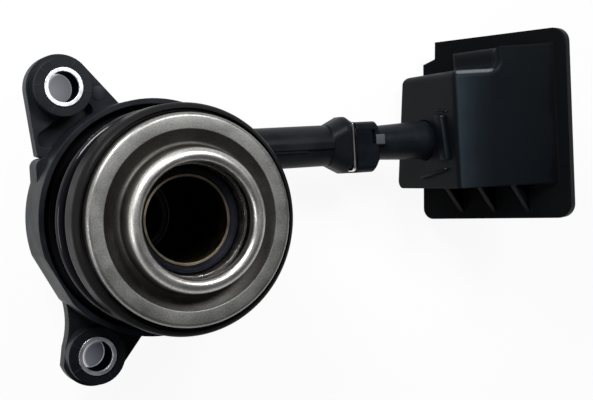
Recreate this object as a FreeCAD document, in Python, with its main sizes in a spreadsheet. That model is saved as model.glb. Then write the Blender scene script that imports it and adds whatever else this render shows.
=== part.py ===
"""Concentric clutch slave cylinder with its release bearing, side pipe and rubber window grommet.

The cylinder sits round the gearbox input shaft. Two ears bolt it to the gearbox, fluid comes
through the side pipe, and the ring piston pushes the release bearing forward along the guide
sleeve. Millimetres. The origin is on the bearing axis at the back of the ears, +Z points
towards the bearing and +X runs along the pipe.
"""
import FreeCAD, Part
import math
import os
import re
import Sketcher
from FreeCAD import Placement, Rotation, Vector

SIZES = [
    ("wall_t", 1.5, "thickness of the outer wall"),
    ("wall_top", 15.5, "height of the outer wall's rim"),
    ("cup_floor", 4.6, "height of the spring seat in the cup"),
    ("flat_turn", 207.5, "direction that the flat faces, degrees"),
    ("flat_half", 9.0, "half length of the flat"),
    ("cylinder_r", 19.0, "bore of the hydraulic cylinder, radius"),
    ("cylinder_wall", 2.0, "thickness of the cylinder's wall"),
    ("cylinder_top", 21.5, "height of the cylinder's open end"),
    ("chamber_floor", 0.0, "bottom of the pressure chamber"),
    ("floor_under", 5.0, "thickness of the housing below the chamber"),
    ("spigot_r", 24.0, "pilot spigot behind the ears, radius"),
    ("spigot_len", 10.0, "length of the pilot spigot"),
    ("ring_section", 1.05, "radius of the pilot seal's section"),
    ("ring_stand", 0.3, "how far the pilot seal stands out"),
    ("ring_place", 5.0, "pilot seal behind the mounting face"),
    ("sleeve_r", 11.75, "guide sleeve outside, radius"),
    ("sleeve_wall", 0.6, "wall of the guide sleeve"),
    ("sleeve_top", 38.7, "open end of the guide sleeve"),
    ("sleeve_flange_r", 16.0, "flange of the guide sleeve, radius"),
    ("sleeve_flange", 0.8, "thickness of the sleeve's flange"),
    ("seat_gap", 0.05, "clearance of seated round parts"),
    ("run_gap", 0.05, "clearance of running fits"),
    ("body_gap", 0.3, "gap between bodies that pass each other"),
    ("cord_r", 0.9, "section of the sleeve's static seal, radius"),
    ("cord_place", 2.5, "static seal below the chamber's floor"),
    ("lip_r", 9.6, "lip of the shaft seal, radius"),
    ("lip_wall", 1.2, "rubber thickness of the shaft seal"),
    ("garter_r", 0.55, "garter spring's section, radius"),
    ("ear_r", 9.3, "rounded end of the upper ear, radius"),
    ("low_ear_r", 8.9, "rounded end of the lower ear, radius"),
    ("ear_t", 4.5, "thickness of the ears"),
    ("upper_x", -21.8, "upper ear's hole"),
    ("upper_y", 36.85, "upper ear's hole"),
    ("lower_x", -17.4, "lower ear's hole"),
    ("lower_y", -37.02, "lower ear's hole"),
    ("bush_bore", 4.25, "bore of the ear bushes, radius"),
    ("bush_r", 5.3, "outside of the ear bushes, radius"),
    ("bush_len", 9.0, "length of the ear bushes"),
    ("boss_r", 8.0, "boss round each bush, radius"),
    ("boss_top", 8.6, "height of the ear bosses"),
    ("pad_x", -30.6, "side face of the shoulder below the upper ear"),
    ("pad_round", 2.5, "rounded corner of the shoulder"),
    ("pad_low", 3.0, "lower end of the shoulder"),
    ("pad_high", 18.0, "upper end of the shoulder"),
    ("pad_top", 8.0, "height of the shoulder"),
    ("relief_x", -26.6, "relief pocket beside the upper ear, left end"),
    ("relief_y", 23.0, "relief pocket, left end"),
    ("relief_end_x", -15.4, "relief pocket, right end"),
    ("relief_end_y", 30.6, "relief pocket, right end"),
    ("relief_r", 2.4, "relief pocket's half width"),
    ("relief_deep", 3.2, "depth of the relief pocket"),
    ("pipe_y", 17.15, "offset of the pipe from the bearing axis"),
    ("pipe_z", 2.0, "height of the pipe's axis"),
    ("pipe_r", 6.3, "pipe outside, radius"),
    ("duct_r", 1.5, "fluid duct, radius"),
    ("pipe_start", 22.0, "where the pipe leaves the housing's wall"),
    ("flare_start", 60.0, "start of the socket's flare"),
    ("flare_len", 4.9, "length of the flare"),
    ("socket_wide", 8.75, "socket's half width"),
    ("socket_thick", 6.4, "socket's half thickness"),
    ("socket_round", 5.0, "rounded corners of the socket's section"),
    ("socket_drop", 0.15, "offset of the socket's wings below the pipe's axis"),
    ("socket_end", 68.0, "open end of the socket"),
    ("socket_taper", 2.1, "length of the socket's narrower end"),
    ("socket_bore", 5.4, "bore of the socket, radius"),
    ("socket_deep", 9.0, "depth of the socket's bore"),
    ("rib_w", 2.0, "parting rib along the pipe, width"),
    ("rib_up", 0.5, "how far the rib stands out"),
    ("clip_slot", 1.2, "width of the coupling clip's slots"),
    ("clip_lip", 0.3, "wall in front of the clip's slots"),
    ("clip_wire", 0.5, "coupling clip's wire, radius"),
    ("clip_half", 5.55, "coupling clip's legs from the pipe's axis"),
    ("clip_tip", 6.3, "end of the clip's legs above the pipe's axis"),
    ("clip_crown", 7.95, "bend of the clip below the pipe's axis"),
    ("clip_bend", 1.3, "radius of the clip's bends"),
    ("spring_wire", 1.3, "preload spring's wire, radius"),
    ("spring_start", 215.0, "direction of the spring's cut end, degrees"),
    ("spring_pitch", 11.6, "rise of the open coils per turn"),
    ("spring_flat", 192.0, "flat part of each end coil, degrees"),
    ("spring_blend", 168.0, "change from flat to open coils, degrees"),
    ("shell_r", 30.05, "bearing cover outside, radius"),
    ("wall_room", 2.65, "outer wall's outside from the bearing cover's"),
    ("wall_r", "=shell_r + wall_room", "outer wall of the housing, radius"),
    ("flat_deep", 0.8, "depth of the flat on the outer wall"),
    ("flat_offset", "=wall_r - flat_deep", "distance of the wall's flat from the axis"),
    ("spring_in", 1.55, "spring's mean radius inside the cover's outside"),
    ("spring_r", "=shell_r - spring_in", "preload spring's mean radius"),
    ("shell_t", 0.8, "bearing cover's sheet thickness"),
    ("shell_low", 33.2, "spring face of the bearing cover"),
    ("shell_top", 40.3, "top of the bearing cover's shoulder"),
    ("shell_round", 2.2, "bearing cover's shoulder radius"),
    ("shell_lip", 1.5, "width that the shoulder turns in"),
    ("land_in", 0.5, "piston's shoulder inside the cylinder's bore"),
    ("piston_land", "=cylinder_r - land_in", "piston's shoulder under the bearing, radius"),
    ("nose_r", 14.2, "piston's nose, radius"),
    ("nose_top", 39.6, "end of the piston's nose"),
    ("seal_h", 4.0, "height of the piston seal"),
    ("seal_low", 16.0, "bottom of the piston seal at rest"),
    ("keeper_t", 0.55, "sheet thickness of the bearing keeper"),
    ("keeper_top", 42.9, "end of the bearing keeper"),
    ("race_t", 1.2, "thickness of the fixed race below the balls"),
    ("guard_in", 2.3, "bearing seal's lip inside the cover's outside"),
    ("guard_r", "=shell_r - guard_in", "bearing seal's lip, inside radius"),
    ("guard_t", 0.65, "bearing seal's lip thickness"),
    ("guard_top", 39.2, "bearing seal's lip height"),
    ("guard_low", 37.0, "bearing seal's foot"),
    ("guard_gap", 0.35, "clearance inside the bearing seal's lip"),
    ("ring_r", "=guard_r - guard_gap", "contact ring outside, radius"),
    ("lip_in", 14.7, "inside of the rolled lip, radius"),
    ("ball_share", 0.1874, "ball radius per radial width of the ring"),
    ("pitch_share", 0.6693, "pitch circle, share of the ring's width"),
    ("face_share", 0.6732, "inner edge of the flat face, share of the ring's width"),
    ("valley_share", 0.4094, "dish, share of the ring's width"),
    ("peak_share", 0.1417, "lip's peak, share of the ring's width"),
    ("ball_r", "=(ring_r - lip_in) * ball_share", "ball radius"),
    ("ball_pitch_r", "=lip_in + (ring_r - lip_in) * pitch_share", "pitch circle of the balls, radius"),
    ("ball_count", 20, "number of balls"),
    ("race_gap", 0.04, "clearance of the balls in their races"),
    ("cage_t", 0.6, "cage wall"),
    ("ring_low", 36.4, "lower edge of the contact ring"),
    ("face_top", 42.7, "contact ring's flat face"),
    ("face_in", "=lip_in + (ring_r - lip_in) * face_share", "inner edge of the flat face, radius"),
    ("valley_r", "=lip_in + (ring_r - lip_in) * valley_share", "bottom of the ring's dish, radius"),
    ("valley_drop", 1.0, "depth of the dish below the flat face"),
    ("lip_top", 48.2, "top of the ring's rolled lip"),
    ("lip_peak", "=lip_in + (ring_r - lip_in) * peak_share", "radius at the top of the lip"),
    ("lip_low", 45.4, "lower edge of the lip's inner wall"),
    ("sheet_t", 1.7, "sheet thickness of the ring's dish"),
    ("spigot_fit", "=socket_bore - 2 * seat_gap", "line connector's spigot, radius"),
    ("collar_wide", 7.85, "line connector's collar, half width"),
    ("collar_thick", 6.05, "line connector's collar, half thickness"),
    ("collar_drop", 1.1, "offset of the collar below the pipe's axis"),
    ("collar_gap", 0.2, "gap between socket and collar"),
    ("collar_len", 7.6, "length of the collar"),
    ("collar_round", 2.4, "rounded edges of the collar"),
    ("tube_r", 5.25, "line tube at the collar, radius"),
    ("tube_end_r", 6.4, "line tube at the grommet, radius"),
    ("tube_end", 98.6, "where the tube reaches its end block"),
    ("o_ring_r", 0.8, "connector seal's section, radius"),
    ("o_ring_x", 64.6, "connector seal along the pipe"),
    ("block_len", 13.0, "length of the end block"),
    ("block_h", 13.5, "height of the end block"),
    ("port_r", 4.1, "female port, radius"),
    ("port_deep", 9.0, "depth of the female port"),
    ("mouth_r", 5.0, "wider mouth of the port, radius"),
    ("bleed_up", 10.8, "bleed screw above the port"),
    ("bleed_r", 2.9, "bleed screw's shank, radius"),
    ("bleed_deep", 7.5, "length of the bleed screw in the block"),
    ("bleed_hex", 7.0, "bleed screw across flats"),
    ("bleed_head", 3.0, "height of the bleed screw's hexagon"),
    ("nipple_r", 2.2, "bleed nipple, radius"),
    ("nipple_len", 4.2, "length of the bleed nipple"),
    ("cap_wall", 0.9, "bleed cap's wall"),
    ("port_wire", 0.6, "port clip's wire, radius"),
    ("clip_reach", 5.1, "port clip's legs from the port's axis"),
    ("port_clip_back", 2.6, "port clip behind the port's mouth"),
    ("plate_lean", 65.8, "lean of the grommet's plate from the floor plane, degrees"),
    ("plate_back", 6.2, "low end of the plate's front face beyond the tube"),
    ("plate_x", "=tube_end + plate_back", "low end of the plate's front face"),
    ("plate_z", -7.0, "low end of the plate's front face"),
    ("plate_t", 3.0, "thickness of the grommet's plate"),
    ("plate_low", -4.6, "lower edge of the plate along itself"),
    ("plate_far", 49.8, "upper edge of the plate along itself"),
    ("plate_down", 26.4, "plate below the pipe's axis"),
    ("plate_up", 32.0, "plate above the pipe's axis"),
    ("plate_round", 4.4, "far corners of the plate, radius"),
    ("corner_round", 3.5, "low corner of the plate, radius"),
    ("box_low_s", -5.3, "low edge of the grommet's box at its upper end"),
    ("box_low_n", 7.1, "low edge of the grommet's box, off the plate"),
    ("box_peak_s", 21.9, "highest edge of the box, along the plate"),
    ("box_peak_n", 19.5, "highest edge of the box, off the plate"),
    ("box_far_s", 45.5, "where the box's front face meets the plate"),
    ("box_down", 15.6, "box below the pipe's axis"),
    ("box_up", 20.9, "box above the pipe's axis"),
    ("foot_s", 6.0, "how far the box's low edge leans out at its lower end"),
    ("step_s", 31.6, "side of the box's raised step"),
    ("step_low_s", 12.5, "low end of the raised step"),
    ("step_n", 7.5, "height of the raised step's low part"),
    ("step_up", 27.4, "top of the raised step above the pipe's axis"),
    ("box_round", 2.4, "rounded edges of the box"),
    ("rubber_t", 2.2, "rubber wall of the box"),
    ("gusset_t", 1.6, "thickness of the gussets"),
    ("gusset_place", 9.7, "first gusset along the plate"),
    ("gusset_step", 12.0, "distance between the gussets"),
    ("gusset_count", 3, "number of gussets"),
    ("gusset_n", 9.0, "height of the gussets off the plate"),
]

doc = FreeCAD.newDocument("ClutchSlaveCylinder")
sheet = doc.addObject("Spreadsheet::Sheet", "Sizes")
parts = []


def fill_sheet():
    """One row per driving size: its name, its value and what it measures."""
    for row, (alias, number, note) in enumerate(SIZES, start=1):
        sheet.set("A%d" % row, alias)
        sheet.set("B%d" % row, str(number))
        sheet.set("C%d" % row, note)
        sheet.setAlias("B%d" % row, alias)
    doc.recompute()


NAMES = {alias for alias, number, note in SIZES}
BOX_SLOPE = "(box_peak_n - box_low_n) / (box_peak_s - box_low_s)"
FAR_SHARE = "(box_far_s - step_s) / (box_far_s - box_peak_s)"
GUIDE_LEN = 10


def bind(text):
    """The same expression with every size name led back to the sheet."""

    def named(found):
        return "Sizes." + found[0] if found[0] in NAMES else found[0]

    return re.sub(r"[A-Za-z_]\w*", named, str(text))


def worth(holder, text):
    """Present value of an expression."""
    return float(holder.evalExpression(bind(text)))


def size(name):
    return float(sheet.get(name))


def tie(thing, place, text):
    """Binds one property to an expression of the sheet's sizes."""
    thing.setExpression(place, bind(text))


def body(label):
    item = doc.addObject("PartDesign::Body", label)
    item.Label = label
    return item


def part(item):
    """Marks a finished object as one of the sub-parts."""
    parts.append(item)
    return item


def plane(owner, role):
    return next(item for item in owner.Origin.OriginFeatures if item.Role == role)


def sketch(owner, role, lift="0"):
    """A sketch on one of the body's planes, moved along the plane's normal."""
    item = owner.newObject("Sketcher::SketchObject", "Sketch")
    item.AttachmentSupport = [(plane(owner, role), "")]
    item.MapMode = "FlatFace"
    item.AttachmentOffset = Placement(Vector(0, 0, worth(item, lift)), Rotation())
    if lift != "0":
        tie(item, "AttachmentOffset.Base.z", lift)
    return item


def fix_point(drawing, geometry, end, x_text, y_text):
    """Holds a point of the sketch at a place given by two expressions."""
    for kind, text, axis in (("DistanceX", x_text, -2), ("DistanceY", y_text, -1)):
        if text == "0":
            drawing.addConstraint(Sketcher.Constraint("PointOnObject", geometry, end, axis))
            continue
        number = worth(drawing, text)
        index = drawing.addConstraint(Sketcher.Constraint(kind, -1, 1, geometry, end, number))
        tie(drawing, "Constraints[%d]" % index, text)


def arc_between(start, end, radius, turn):
    """The short arc from start to end; turn is 1 for counter-clockwise and -1 for clockwise."""
    chord = end - start
    half = chord.Length / 2
    rise = math.sqrt(max(radius * radius - half * half, 0))
    side = Vector(-chord.y, chord.x, 0).normalize() * (rise * turn)
    centre = (start + end) / 2 + side
    first, last = (start, end) if turn > 0 else (end, start)
    begin = math.atan2(first.y - centre.y, first.x - centre.x)
    finish = math.atan2(last.y - centre.y, last.x - centre.x)
    return Part.ArcOfCircle(Part.Circle(centre, Vector(0, 0, 1), radius), begin, finish)


def outline(drawing, corners, closed=True):
    """Line through the corners. A corner is (x, y), or (x, y, radius, turn) where an arc leads to the next."""
    places = [Vector(worth(drawing, c[0]), worth(drawing, c[1]), 0) for c in corners]
    steps = corners if closed else corners[:-1]
    ends = []
    for number, corner in enumerate(steps):
        start = places[number]
        end = places[(number + 1) % len(places)]
        if len(corner) == 2:
            index = drawing.addGeometry(Part.LineSegment(start, end), False)
            ends.append((index, 1, 2))
            continue
        curve = arc_between(start, end, worth(drawing, corner[2]), corner[3])
        index = drawing.addGeometry(curve, False)
        ends.append((index, 1, 2) if corner[3] > 0 else (index, 2, 1))
    for number, corner in enumerate(steps):
        index, first, last = ends[number]
        if closed or number + 1 < len(ends):
            following = ends[(number + 1) % len(ends)]
            drawing.addConstraint(Sketcher.Constraint("Coincident", index, last, following[0], following[1]))
        else:
            fix_point(drawing, index, last, *corners[-1])
        fix_point(drawing, index, first, corner[0], corner[1])
        if len(corner) > 2:
            place = drawing.addConstraint(Sketcher.Constraint("Radius", index, worth(drawing, corner[2])))
            tie(drawing, "Constraints[%d]" % place, corner[2])


def circle(drawing, x_text, y_text, radius):
    centre = Vector(worth(drawing, x_text), worth(drawing, y_text), 0)
    index = drawing.addGeometry(Part.Circle(centre, Vector(0, 0, 1), worth(drawing, radius)), False)
    fix_point(drawing, index, 3, x_text, y_text)
    place = drawing.addConstraint(Sketcher.Constraint("Radius", index, worth(drawing, radius)))
    tie(drawing, "Constraints[%d]" % place, radius)


def box_outline(drawing, left, low, right, high):
    outline(drawing, [(left, low), (right, low), (right, high), (left, high)])


def turned(owner, corners, kind="PartDesign::Revolution"):
    """Adds, or cuts with a groove, a full turn of an outline of radii and heights about Z."""
    drawing = sketch(owner, "XZ_Plane")
    outline(drawing, corners)
    feature = owner.newObject(kind, "Turned")
    feature.Profile = drawing
    feature.ReferenceAxis = (drawing, ["V_Axis"])
    feature.Angle = 360
    return feature


def turned_about(owner, role, lift, corners, centre, kind="PartDesign::Revolution"):
    """A full turn about a line along the sketch's X direction at the height named by centre."""
    drawing = sketch(owner, role, lift)
    outline(drawing, corners)
    height = worth(drawing, centre)
    index = drawing.addGeometry(Part.LineSegment(Vector(0, height, 0), Vector(GUIDE_LEN, height, 0)), True)
    drawing.addConstraint(Sketcher.Constraint("Horizontal", index))
    fix_point(drawing, index, 1, "0", centre)
    feature = owner.newObject(kind, "Turned")
    feature.Profile = drawing
    feature.ReferenceAxis = (drawing, ["Axis0"])
    feature.Angle = 360
    return feature


def pad(owner, drawing, length, reverse=False, both=None):
    feature = owner.newObject("PartDesign::Pad", "Pad")
    feature.Profile = drawing
    tie(feature, "Length", length)
    feature.Reversed = reverse
    if both:
        feature.SideType = "Two sides"
        tie(feature, "Length2", both)
    return feature


def pocket(owner, drawing, length, reverse=False, both=None):
    feature = owner.newObject("PartDesign::Pocket", "Pocket")
    feature.Profile = drawing
    tie(feature, "Length", length)
    feature.Reversed = reverse
    if both:
        feature.SideType = "Two sides"
        tie(feature, "Length2", both)
    return feature


def fillet(owner, feature, chosen, radius):
    """Rounds the edges of the feature that the test picks."""
    doc.recompute()
    names = ["Edge%d" % number for number, edge in enumerate(feature.Shape.Edges, start=1) if chosen(edge)]
    item = owner.newObject("PartDesign::Fillet", "Fillet")
    item.Base = (feature, names)
    tie(item, "Radius", radius)
    return item


def spread(edge):
    """Size of an edge's bounding box along X, Y and Z."""
    bounds = edge.BoundBox
    return bounds.XLength, bounds.YLength, bounds.ZLength


def near(first, second, room=0.01):
    return abs(first - second) < room


def polar(x_text, y_text, radius, angle):
    """Expressions of the point at an angle on a circle."""
    return ("%s + (%s) * cos(%s)" % (x_text, radius, angle), "%s + (%s) * sin(%s)" % (y_text, radius, angle))


def make_housing():
    """Moulded body: cup and cylinder, ears, pilot spigot, side pipe and coupling socket."""
    item = body("housing")
    bottom = "-spigot_len"
    under = "chamber_floor - floor_under"
    cord_low = "chamber_floor - cord_place - cord_r - seat_gap"
    cord_high = "chamber_floor - cord_place + cord_r + seat_gap"
    hole = "sleeve_r + seat_gap"
    groove = "sleeve_r + 2 * cord_r + 2 * seat_gap"
    ring_in = "spigot_r + ring_stand - 2 * ring_section - seat_gap"
    turned(item, [
        ("sleeve_flange_r + 2 * seat_gap", bottom),
        ("spigot_r", bottom),
        ("spigot_r", "-ring_place - ring_section - 2 * seat_gap"),
        (ring_in, "-ring_place - ring_section - 2 * seat_gap"),
        (ring_in, "-ring_place + ring_section + 2 * seat_gap"),
        ("spigot_r", "-ring_place + ring_section + 2 * seat_gap"),
        ("spigot_r", "0"),
        ("wall_r", "0"),
        ("wall_r", "wall_top"),
        ("cylinder_r", "wall_top"),
        ("cylinder_r", "chamber_floor"),
        (hole, "chamber_floor"),
        (hole, cord_high),
        (groove, cord_high),
        (groove, cord_low),
        (hole, cord_low),
        (hole, under),
        ("sleeve_flange_r + 2 * seat_gap", under),
    ])
    flat = sketch(item, "XY_Plane", "wall_top")
    near_x, near_y = polar("0", "0", "flat_offset", "flat_turn")
    far_x, far_y = polar("0", "0", "wall_r + 1", "flat_turn")
    along_x = "flat_half * sin(flat_turn)"
    along_y = "flat_half * cos(flat_turn)"
    outline(flat, [
        (near_x + " + " + along_x, near_y + " - " + along_y),
        (far_x + " + " + along_x, far_y + " - " + along_y),
        (far_x + " - " + along_x, far_y + " + " + along_y),
        (near_x + " - " + along_x, near_y + " + " + along_y),
    ])
    pocket(item, flat, "wall_top")
    make_ears(item)
    make_pipe(item)
    turned(item, [
        ("cylinder_r + cylinder_wall", "cup_floor"),
        ("wall_r - wall_t", "cup_floor"),
        ("wall_r - wall_t", "wall_top + cylinder_top"),
        ("cylinder_r + cylinder_wall", "wall_top + cylinder_top"),
    ], "PartDesign::Groove")
    turned(item, [
        ("cylinder_r", "wall_top - 1"),
        ("cylinder_r + cylinder_wall", "wall_top - 1"),
        ("cylinder_r + cylinder_wall", "cylinder_top"),
        ("cylinder_r", "cylinder_top"),
    ])
    duct = sketch(item, "YZ_Plane", "0")
    circle(duct, "pipe_y", "pipe_z", "duct_r")
    last = pocket(item, duct, "flare_start + flare_len", reverse=True)
    item.Tip = last
    return part(item)


def make_ears(item):
    """Two ears with their bosses, the shoulder below the upper one and the relief beside it."""
    upper = sketch(item, "XY_Plane")
    first = polar("upper_x", "upper_y", "ear_r", "46")
    second = polar("upper_x", "upper_y", "ear_r", "186")
    outline(upper, [
        first + ("ear_r", 1),
        second,
        ("upper_x - 0.8 * ear_r", "upper_y - 1.96 * ear_r"),
        ("upper_x + 0.22 * ear_r", "upper_y - 2.37 * ear_r"),
        ("upper_x + 1.89 * ear_r", "upper_y - 0.65 * ear_r"),
    ])
    pad(item, upper, "ear_t")
    lower = sketch(item, "XY_Plane")
    first = polar("lower_x", "lower_y", "low_ear_r", "197")
    second = polar("lower_x", "lower_y", "low_ear_r", "-38")
    outline(lower, [
        first + ("low_ear_r", 1),
        second,
        ("lower_x + 1.73 * low_ear_r", "lower_y + 0.52 * low_ear_r"),
        ("lower_x + 0.45 * low_ear_r", "lower_y + 2.47 * low_ear_r"),
        ("lower_x - 0.76 * low_ear_r", "lower_y + 1.73 * low_ear_r", "2.6 * low_ear_r", -1),
        ("lower_x - 0.86 * low_ear_r", "lower_y + 0.3 * low_ear_r"),
    ])
    pad(item, lower, "ear_t")
    shoulder = sketch(item, "XY_Plane")
    outline(shoulder, [
        ("pad_x", "pad_low"),
        ("pad_x + pad_top", "pad_low"),
        ("pad_x + pad_top", "pad_high"),
        ("pad_x + pad_round", "pad_high", "pad_round", 1),
        ("pad_x", "pad_high - pad_round"),
    ])
    pad(item, shoulder, "pad_top")
    for ear in ("upper", "lower"):
        boss = sketch(item, "XY_Plane")
        circle(boss, ear + "_x", ear + "_y", "boss_r")
        pad(item, boss, "boss_top")
        hole = sketch(item, "XY_Plane")
        circle(hole, ear + "_x", ear + "_y", "bush_r + seat_gap")
        pocket(item, hole, "boss_top + ear_t", reverse=True)
    relief = sketch(item, "XY_Plane", "ear_t")
    lean = "atan2(relief_end_y - relief_y; relief_end_x - relief_x) / 1 deg"
    start_low = polar("relief_x", "relief_y", "relief_r", lean + " - 90")
    start_high = polar("relief_x", "relief_y", "relief_r", lean + " + 90")
    end_low = polar("relief_end_x", "relief_end_y", "relief_r", lean + " - 90")
    end_high = polar("relief_end_x", "relief_end_y", "relief_r", lean + " + 90")
    turn = ("relief_r * 1.001", 1)
    outline(relief, [start_low, end_low + turn, end_high, start_high + turn])
    pocket(item, relief, "relief_deep")


def make_pipe(item):
    """Side pipe with its parting rib, and the coupling socket at its end."""
    turned_about(item, "XZ_Plane", "-pipe_y", [
        ("pipe_start", "pipe_z"),
        ("pipe_start", "pipe_z + pipe_r"),
        ("socket_end - socket_taper", "pipe_z + pipe_r"),
        ("socket_end - socket_taper", "pipe_z"),
    ], "pipe_z")
    rib = sketch(item, "XY_Plane", "pipe_z")
    box_outline(rib, "pipe_start + pipe_r", "pipe_y - rib_w / 2", "flare_start", "pipe_y + rib_w / 2")
    pad(item, rib, "pipe_r + rib_up")
    make_socket(item)


def wing_section(item, x_text, wide):
    """Section of the coupling socket across the pipe: a rounded box of the given half width."""
    drawing = sketch(item, "YZ_Plane", x_text)
    middle = "pipe_y - socket_drop * (%s - pipe_r) / (socket_wide - pipe_r)" % wide
    left, right = middle + " - (%s)" % wide, middle + " + %s" % wide
    low, high = "pipe_z - socket_thick", "pipe_z + socket_thick"
    turn = ("socket_round", 1)
    outline(drawing, [
        (left + " + socket_round", low),
        (right + " - socket_round", low) + turn,
        (right, low + " + socket_round"),
        (right, high + " - socket_round") + turn,
        (right + " - socket_round", high),
        (left + " + socket_round", high) + turn,
        (left, high + " - socket_round"),
        (left, low + " + socket_round") + turn,
    ])
    return drawing


def make_socket(item):
    """Socket with wings that widen from the pipe and hold the wire clip in their slots."""
    flare_end = "flare_start + flare_len"
    taper = "socket_end - socket_taper"
    places = (
        ("flare_start", "pipe_r"),
        (flare_end, "socket_wide"),
        (taper, "socket_wide"),
        ("socket_end", "0.83 * socket_wide"),
    )
    for (start, wide), (end, wide_end) in zip(places, places[1:]):
        loft = item.newObject("PartDesign::AdditiveLoft", "Wings")
        loft.Profile = wing_section(item, start, wide)
        loft.Sections = [wing_section(item, end, wide_end)]
        loft.Ruled = True
    bore = sketch(item, "YZ_Plane", "socket_end - socket_deep")
    circle(bore, "pipe_y", "pipe_z", "socket_bore")
    pocket(item, bore, "socket_deep + 1", reverse=True)
    floor = "clip_half - clip_wire - seat_gap"
    start = "socket_end - clip_lip - clip_slot"
    for side in ("+", "-"):
        slot = sketch(item, "XY_Plane", "pipe_z %s (%s)" % (side, floor))
        low, high = "pipe_y - 2 * socket_wide", "pipe_y + 2 * socket_wide"
        box_outline(slot, start, low, start + " + clip_slot", high)
        pocket(item, slot, "socket_thick", reverse=(side == "+"))
    crown_floor = "pipe_y - clip_crown + clip_wire + seat_gap"
    crown = sketch(item, "XY_Plane", "pipe_z")
    box_outline(crown, start, "pipe_y - 2 * socket_wide", start + " + clip_slot", crown_floor)
    pocket(item, crown, "2 * socket_thick", both="2 * socket_thick")
    notch = sketch(item, "XY_Plane", "pipe_z + clip_half - 2.4 * clip_bend")
    box_outline(notch, start + " - clip_slot", "pipe_y - 2 * socket_wide", start, crown_floor)
    pocket(item, notch, "2 * socket_thick", reverse=True)


def make_bushes():
    """Steel compression bushes in the ears."""
    for ear in ("upper", "lower"):
        item = body(ear + "_bush")
        drawing = sketch(item, "XY_Plane")
        circle(drawing, ear + "_x", ear + "_y", "bush_r")
        circle(drawing, ear + "_x", ear + "_y", "bush_bore")
        pad(item, drawing, "bush_len")
        part(item)


def make_sleeve():
    """Flanged steel sleeve that guides the piston."""
    item = body("guide_sleeve")
    low = "chamber_floor - floor_under"
    turned(item, [
        ("sleeve_r - sleeve_wall", low + " - sleeve_flange"),
        ("sleeve_flange_r", low + " - sleeve_flange"),
        ("sleeve_flange_r", low),
        ("sleeve_r", low),
        ("sleeve_r", "sleeve_top"),
        ("sleeve_r - sleeve_wall", "sleeve_top"),
    ])
    part(item)


def make_ring(label, pitch_r, height, section):
    """Round-section ring about Z."""
    item = body(label)
    drawing = sketch(item, "XZ_Plane")
    circle(drawing, pitch_r, height, section)
    feature = item.newObject("PartDesign::Revolution", "Turned")
    feature.Profile = drawing
    feature.ReferenceAxis = (drawing, ["V_Axis"])
    feature.Angle = 360
    return part(item)


def make_shaft_seal():
    """Lip seal for the input shaft, behind the sleeve's flange."""
    item = body("shaft_seal")
    top = "chamber_floor - floor_under - sleeve_flange"
    low = "-spigot_len"
    neck = "lip_r + lip_wall"
    turned(item, [
        ("sleeve_flange_r", top),
        ("sleeve_flange_r", low),
        (neck + " + 1.6", low),
        ("lip_r + 0.5", low + " + 0.9"),
        ("lip_r", low + " + 1.9"),
        (neck + " - 0.3", top + " - 0.9"),
        (neck, top + " - 0.9"),
        (neck, low + " + 2.7"),
        (neck + " + 1.6", low + " + 1.6"),
        ("sleeve_flange_r - 2", low + " + 1.6"),
        ("sleeve_flange_r - 2", top),
    ])
    part(item)


def make_piston():
    """Ring piston with its lip seal at the back and its nose through the bearing."""
    item = body("piston")
    low = "seal_low + seal_h"
    inner = "sleeve_r + run_gap"
    outer = "cylinder_r - run_gap"
    turned(item, [
        (inner, low),
        (outer, low),
        (outer, "cylinder_top + 2"),
        ("piston_land", "cylinder_top + 3"),
        ("piston_land", "shell_low"),
        ("nose_r", "shell_low"),
        ("nose_r", "nose_top - 1"),
        ("nose_r - 0.7", "nose_top"),
        ("sleeve_r + 0.9", "nose_top"),
        (inner, "nose_top - 1.2"),
    ])
    part(item)
    seal = body("piston_seal")
    turned(seal, [
        (inner, low),
        (inner, "seal_low"),
        (inner + " + 0.9", "seal_low + 0.2"),
        (inner + " + 1.9", low + " - 1.6"),
        (outer + " - 1.9", low + " - 1.6"),
        (outer + " - 0.9", "seal_low + 0.2"),
        (outer, "seal_low"),
        (outer, low),
    ])
    part(seal)


def spring_station(angle):
    """Place and direction of the spring's wire, the given number of degrees along its turns."""
    low = size("cup_floor") + size("spring_wire") + size("seat_gap")
    high = size("shell_low") - size("spring_wire") - size("seat_gap")
    slope = size("spring_pitch") / 360
    flat = size("spring_flat")
    blend = size("spring_blend")
    end = (high - low) / slope + blend + 2 * flat
    back = angle > end / 2
    along = end - angle if back else angle
    if along <= flat:
        rise, climb = 0, 0
    elif along <= flat + blend:
        rise, climb = slope * (along - flat) ** 2 / (2 * blend), slope * (along - flat) / blend
    else:
        rise, climb = slope * (along - flat - blend / 2), slope
    place = math.radians(size("spring_start") - angle)
    radius = size("spring_r")
    height = high - rise if back else low + rise
    point = Vector(radius * math.cos(place), radius * math.sin(place), height)
    heading = Vector(radius * math.sin(place), -radius * math.cos(place), math.degrees(climb))
    return point, heading.normalize(), end


def tangent_arc(first, knee, last):
    """Arc from first to last that is tangent to the lines to the knee between them."""
    middle = (first + last) / 2
    half = (last - first).Length / 2
    drop = (knee - middle).Length
    radius = half * (knee - first).Length / drop
    crown = middle + (knee - middle) * ((radius - math.sqrt(radius * radius - half * half)) / drop)
    return Part.Arc(first, crown, last).toShape()


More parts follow.
